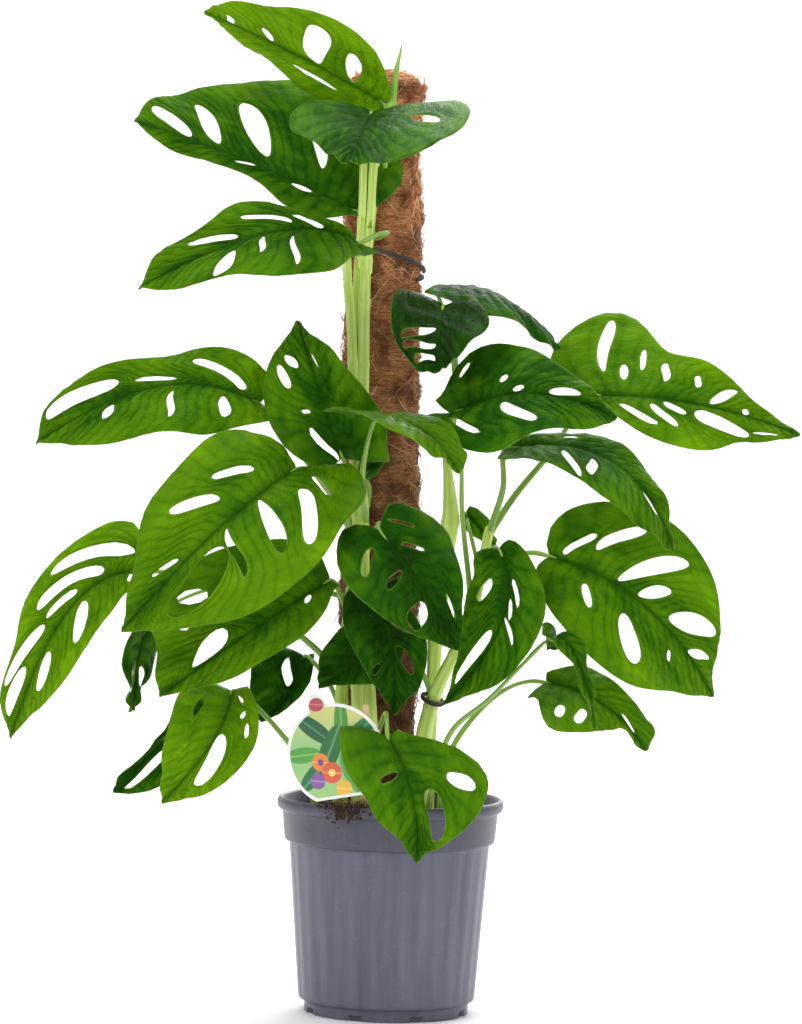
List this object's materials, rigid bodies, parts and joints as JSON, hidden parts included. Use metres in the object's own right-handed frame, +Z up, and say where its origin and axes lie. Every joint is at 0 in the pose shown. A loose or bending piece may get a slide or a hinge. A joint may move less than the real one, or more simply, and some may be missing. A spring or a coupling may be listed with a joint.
{
  "type": "potted climbing house plant",
  "caption": "Swiss cheese vine with perforated leaves, tied to a coconut fibre pole in a round nursery pot, with a plant label on a stick.",
  "frame": {"origin": "centre of the pot's underside, on the floor", "axes": "+Z up along the pot and the pole, +X to the right and +Y to the back as seen from the side that the label faces"},
  "size_m": [0.589, 0.2347, 0.7533],
  "materials": {
    "pot": "smooth moulded blue-grey plastic with a soft gloss and faint upright flutes",
    "potting_mix": "crumbly dark brown peat and fibre, matt",
    "pole_core": "plain rough stake",
    "coir": "matted brown coconut fibre bound with thin pale threads",
    "stem": "smooth pale green climbing stem, waxy",
    "young_leaf": "tightly rolled pale green leaf, waxy",
    "leaf": "waxy mid-green blade with sunken veins, a pale thin edge and a soft gloss; stalk paler",
    "tie": "soft foam-covered garden wire, dark brown-grey",
    "label_card": "printed coated card with a plain leafy pattern and a white edge",
    "label_stick": "plain pale wooden stick"
  },
  "bodies": {
    "root": {"pot": "pot", "potting_mix": "potting_mix", "pole_core": "pole_core", "coir_sleeve": "coir", "stem_front": "stem", "stem_right": "stem", "stem_side": "stem", "stem_left": "stem", "new_leaf_spike": "young_leaf", "tie_pole": "tie", "tie_stem": "tie", "label_card": "label_card", "label_stick": "label_stick", "leaf_01": "leaf", "leaf_02": "leaf", "leaf_03": "leaf", "leaf_04": "leaf", "leaf_05": "leaf", "leaf_06": "leaf", "leaf_07": "leaf", "leaf_08": "leaf", "leaf_09": "leaf", "leaf_10": "leaf", "leaf_11": "leaf", "leaf_12": "leaf", "leaf_13": "leaf", "leaf_14": "leaf", "leaf_15": "leaf", "leaf_16": "leaf", "leaf_17": "leaf", "leaf_18": "leaf", "leaf_19": "leaf", "leaf_20": "leaf", "leaf_21": "leaf", "leaf_22": "leaf", "leaf_23": "leaf", "leaf_24": "leaf", "leaf_25": "leaf", "leaf_26": "leaf", "leaf_27": "leaf", "leaf_28": "leaf", "leaf_29": "leaf"}
  },
  "joints": []
}
